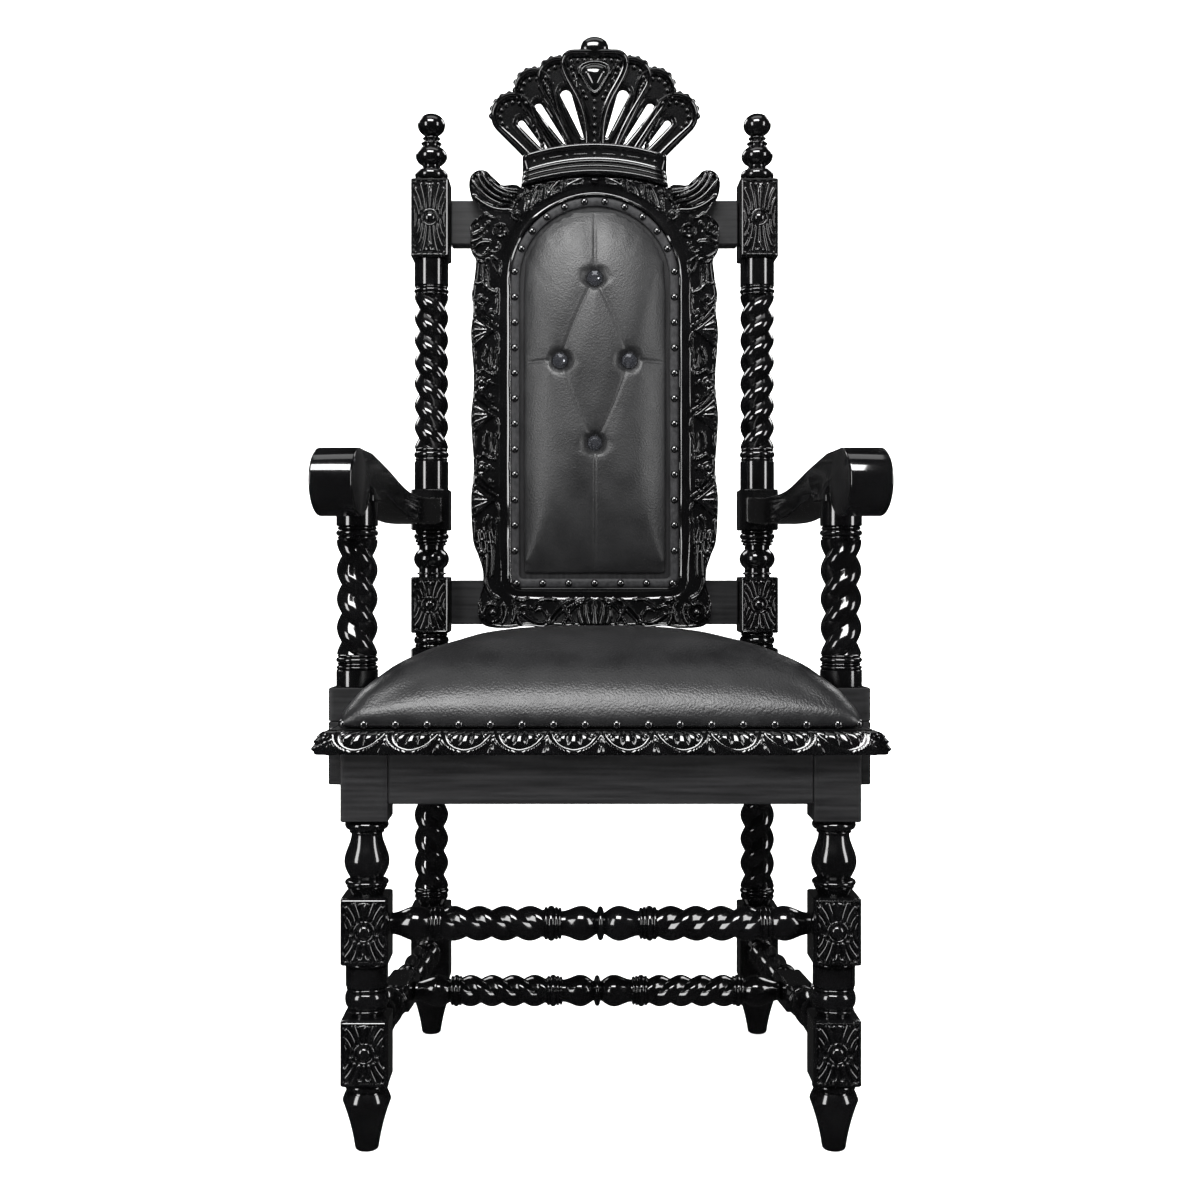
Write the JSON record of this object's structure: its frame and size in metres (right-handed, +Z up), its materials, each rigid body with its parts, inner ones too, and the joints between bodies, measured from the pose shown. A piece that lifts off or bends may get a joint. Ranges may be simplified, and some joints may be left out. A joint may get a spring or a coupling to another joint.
{
  "type": "throne",
  "caption": "High-backed throne of black turned wood with twisted posts, scrolled arms, a domed leather seat, a tufted back and a carved crown.",
  "frame": {"origin": "on the floor, in the middle of the footprint", "axes": "+Z up, +Y towards the back, +X to the right of someone who looks at the front"},
  "size_m": [0.5972, 0.4726, 1.2873],
  "materials": {
    "gloss_black": "black lacquered carved and turned wood, high gloss",
    "satin_black": "black satin lacquer with a faint grain",
    "black_leather": "black leather with a fine grain, half matt",
    "band_leather": "charcoal leather strip, matt",
    "nail_metal": "round nail heads in gloss black",
    "crystal": "smoky faceted crystal buttons"
  },
  "bodies": {
    "root": {"arm_left": "gloss_black", "arm_post_left": "gloss_black", "arm_post_right": "gloss_black", "arm_right": "gloss_black", "back_band": "band_leather", "back_frame": "gloss_black", "back_pad": "black_leather", "back_panel": "satin_black", "back_rail_lower": "satin_black", "back_rail_upper": "satin_black", "button_bottom": "crystal", "button_left": "crystal", "button_right": "crystal", "button_top": "crystal", "cross_stretcher": "gloss_black", "crown": "gloss_black", "front_leg_left": "gloss_black", "front_leg_right": "gloss_black", "front_rail": "satin_black", "front_stretcher": "gloss_black", "rear_post_left": "gloss_black", "rear_post_right": "gloss_black", "rear_rail": "satin_black", "seat_board": "satin_black", "seat_cushion": "black_leather", "seat_trim_front": "gloss_black", "seat_trim_left_aft": "gloss_black", "seat_trim_left_fore": "gloss_black", "seat_trim_right_aft": "gloss_black", "seat_trim_right_fore": "gloss_black", "side_rail_left": "satin_black", "side_rail_right": "satin_black", "side_stretcher_left": "gloss_black", "side_stretcher_right": "gloss_black"}
  },
  "joints": []
}
